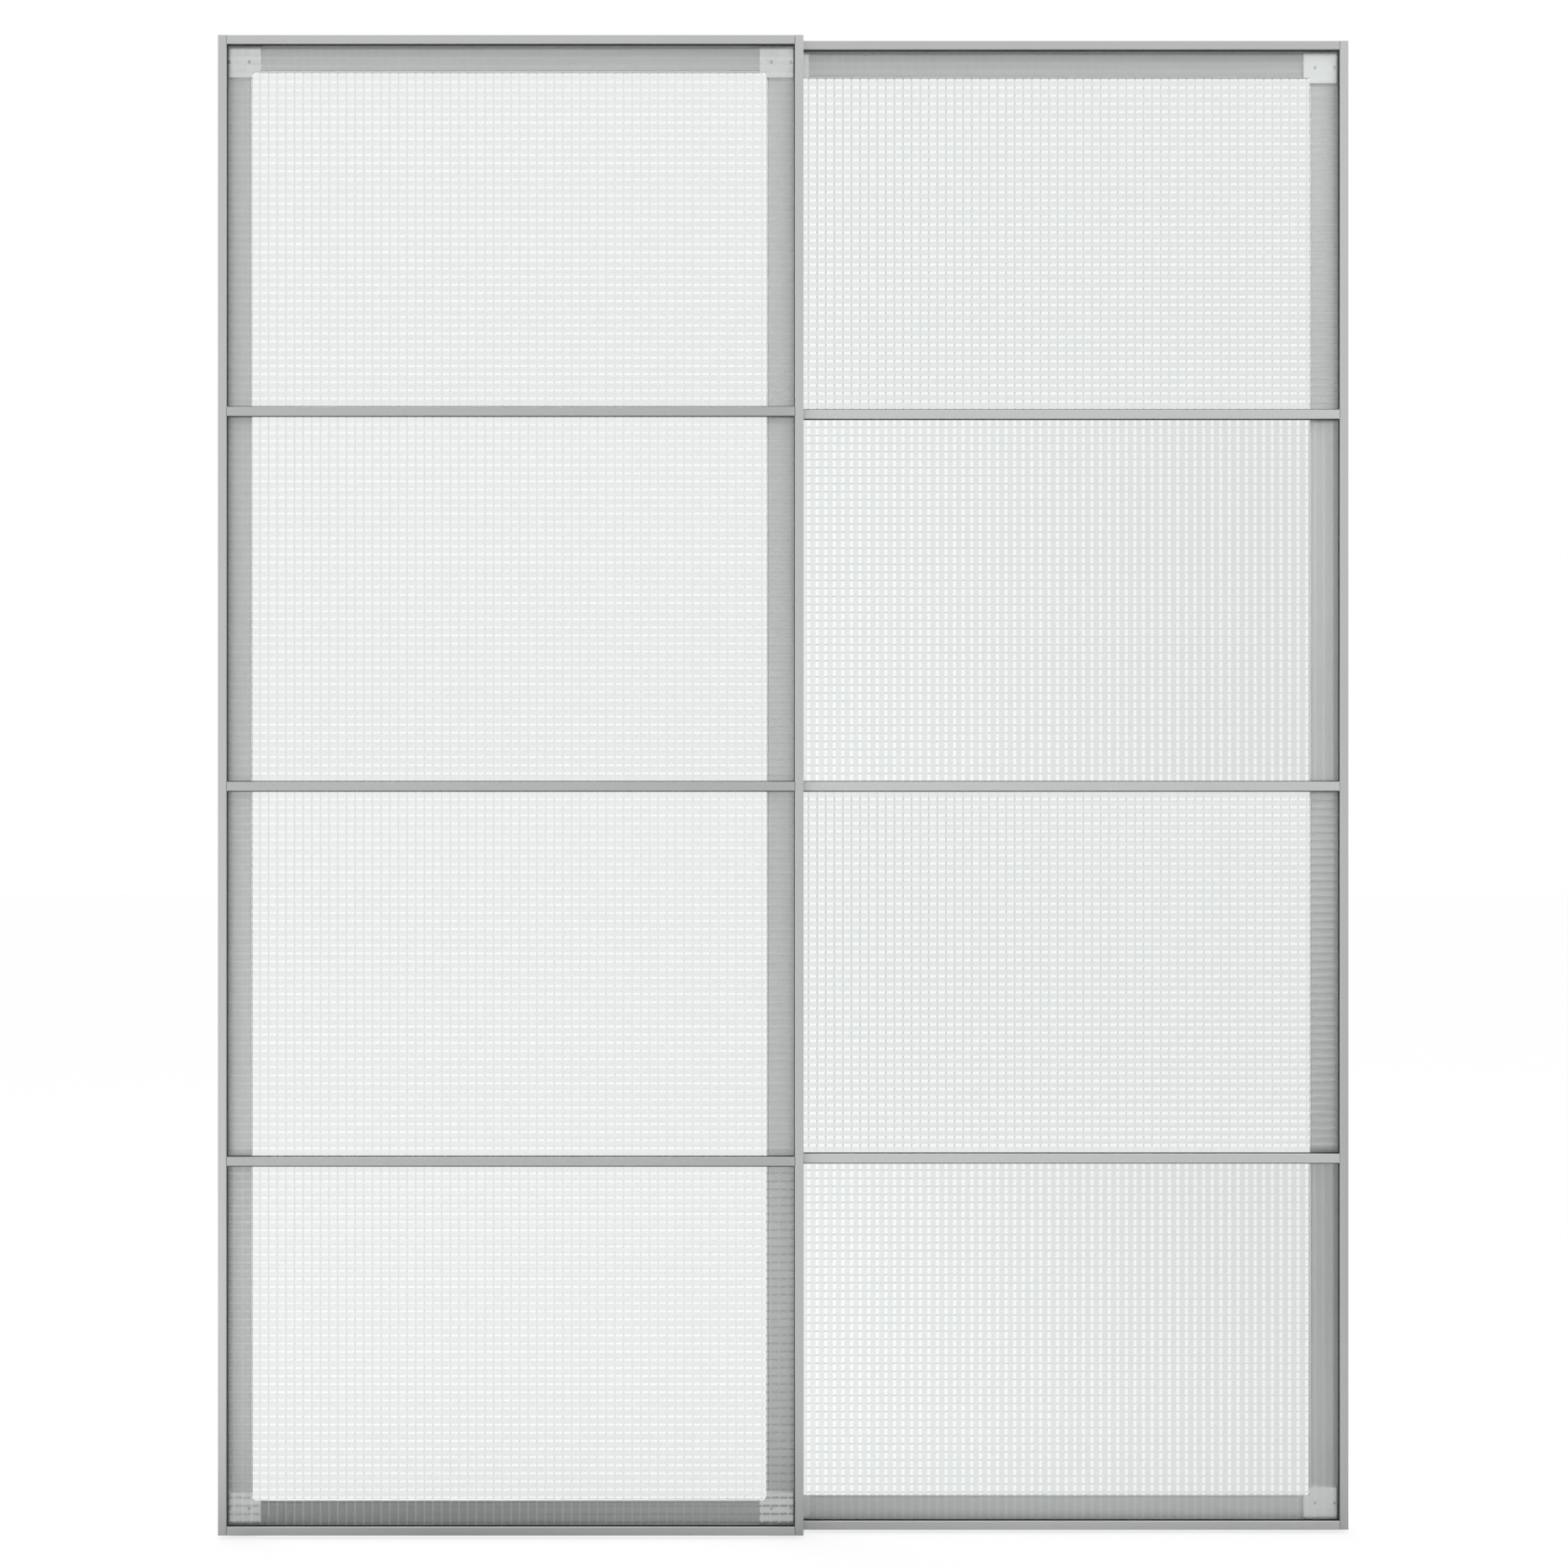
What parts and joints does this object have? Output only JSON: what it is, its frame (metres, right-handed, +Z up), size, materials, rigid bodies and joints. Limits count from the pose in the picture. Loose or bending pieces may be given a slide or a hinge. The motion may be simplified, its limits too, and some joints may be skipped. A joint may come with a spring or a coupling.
{
  "type": "pair of sliding doors",
  "caption": "Overlapping framed glass sliding doors with check-patterned panes, hung on wheels from a double running rail and guided by a rail at the foot.",
  "frame": {"origin": "under the middle of the closed pair, at its lowest level and in the middle of its depth", "axes": "+Z up, +X to the right seen from the front, +Y to the back"},
  "size_m": [1.5, 0.096, 1.991],
  "materials": {
    "frame_aluminium": "satin anodised",
    "rail_aluminium": "satin anodised",
    "check_glass": "clear check-patterned",
    "corner_block": "light grey, matt",
    "bracket_steel": "zinc plated",
    "screw_steel": "zinc plated",
    "gasket_rubber": "matt black",
    "wheel_nylon": "moulded, dark grey",
    "slider_nylon": "moulded, natural white",
    "stop_plastic": "moulded, dark grey"
  },
  "bodies": {
    "rails": {"upper_rail": "rail_aluminium", "lower_rail": "rail_aluminium", "left_stop": "stop_plastic", "right_stop": "stop_plastic", "stop_screws": "screw_steel"},
    "front_door": {"front_left_stile": "frame_aluminium", "front_right_stile": "frame_aluminium", "front_top_rail": "frame_aluminium", "front_bottom_rail": "frame_aluminium", "front_divider_1": "frame_aluminium", "front_divider_2": "frame_aluminium", "front_divider_3": "frame_aluminium", "front_glass_1": "check_glass", "front_glass_2": "check_glass", "front_glass_3": "check_glass", "front_glass_4": "check_glass", "front_corner_top_left": "corner_block", "front_corner_top_right": "corner_block", "front_corner_bottom_left": "corner_block", "front_corner_bottom_right": "corner_block", "front_hanger_left": "bracket_steel", "front_hanger_right": "bracket_steel", "front_guide_left": "bracket_steel", "front_guide_right": "bracket_steel", "front_gaskets": "gasket_rubber", "front_corner_screws": "screw_steel", "front_frame_screws": "screw_steel", "front_axles": "screw_steel", "front_sliders": "slider_nylon"},
    "front_wheel_left": {"front_wheel_left": "wheel_nylon"},
    "front_wheel_right": {"front_wheel_right": "wheel_nylon"},
    "rear_door": {"rear_left_stile": "frame_aluminium", "rear_right_stile": "frame_aluminium", "rear_top_rail": "frame_aluminium", "rear_bottom_rail": "frame_aluminium", "rear_divider_1": "frame_aluminium", "rear_divider_2": "frame_aluminium", "rear_divider_3": "frame_aluminium", "rear_glass_1": "check_glass", "rear_glass_2": "check_glass", "rear_glass_3": "check_glass", "rear_glass_4": "check_glass", "rear_corner_top_left": "corner_block", "rear_corner_top_right": "corner_block", "rear_corner_bottom_left": "corner_block", "rear_corner_bottom_right": "corner_block", "rear_hanger_left": "bracket_steel", "rear_hanger_right": "bracket_steel", "rear_guide_left": "bracket_steel", "rear_guide_right": "bracket_steel", "rear_gaskets": "gasket_rubber", "rear_corner_screws": "screw_steel", "rear_frame_screws": "screw_steel", "rear_axles": "screw_steel", "rear_sliders": "slider_nylon"},
    "rear_wheel_left": {"rear_wheel_left": "wheel_nylon"},
    "rear_wheel_right": {"rear_wheel_right": "wheel_nylon"}
  },
  "joints": [
    {"name": "front_door_slide", "type": "slide", "parent": "rails", "child": "front_door", "axis": [1, 0, 0], "range_m": [0, 0.726]},
    {"name": "front_wheel_left_spin", "type": "hinge", "parent": "front_door", "child": "front_wheel_left", "pos_m": [-0.721, 0.038, 1.976], "axis": [0, 1, 0], "continuous": true},
    {"name": "front_wheel_right_spin", "type": "hinge", "parent": "front_door", "child": "front_wheel_right", "pos_m": [-0.005, 0.038, 1.976], "axis": [0, 1, 0], "continuous": true},
    {"name": "rear_door_slide", "type": "slide", "parent": "rails", "child": "rear_door", "axis": [-1, 0, 0], "range_m": [0, 0.726]},
    {"name": "rear_wheel_left_spin", "type": "hinge", "parent": "rear_door", "child": "rear_wheel_left", "pos_m": [0.005, 0.022, 1.976], "axis": [0, 1, 0], "continuous": true},
    {"name": "rear_wheel_right_spin", "type": "hinge", "parent": "rear_door", "child": "rear_wheel_right", "pos_m": [0.721, 0.022, 1.976], "axis": [0, 1, 0], "continuous": true}
  ],
  "couplings": [
    {"joint": "front_wheel_left_spin", "follows": "front_door_slide", "rad_per_m": 117.65},
    {"joint": "front_wheel_right_spin", "follows": "front_door_slide", "rad_per_m": 117.65},
    {"joint": "rear_wheel_left_spin", "follows": "rear_door_slide", "rad_per_m": -117.65},
    {"joint": "rear_wheel_right_spin", "follows": "rear_door_slide", "rad_per_m": -117.65}
  ]
}
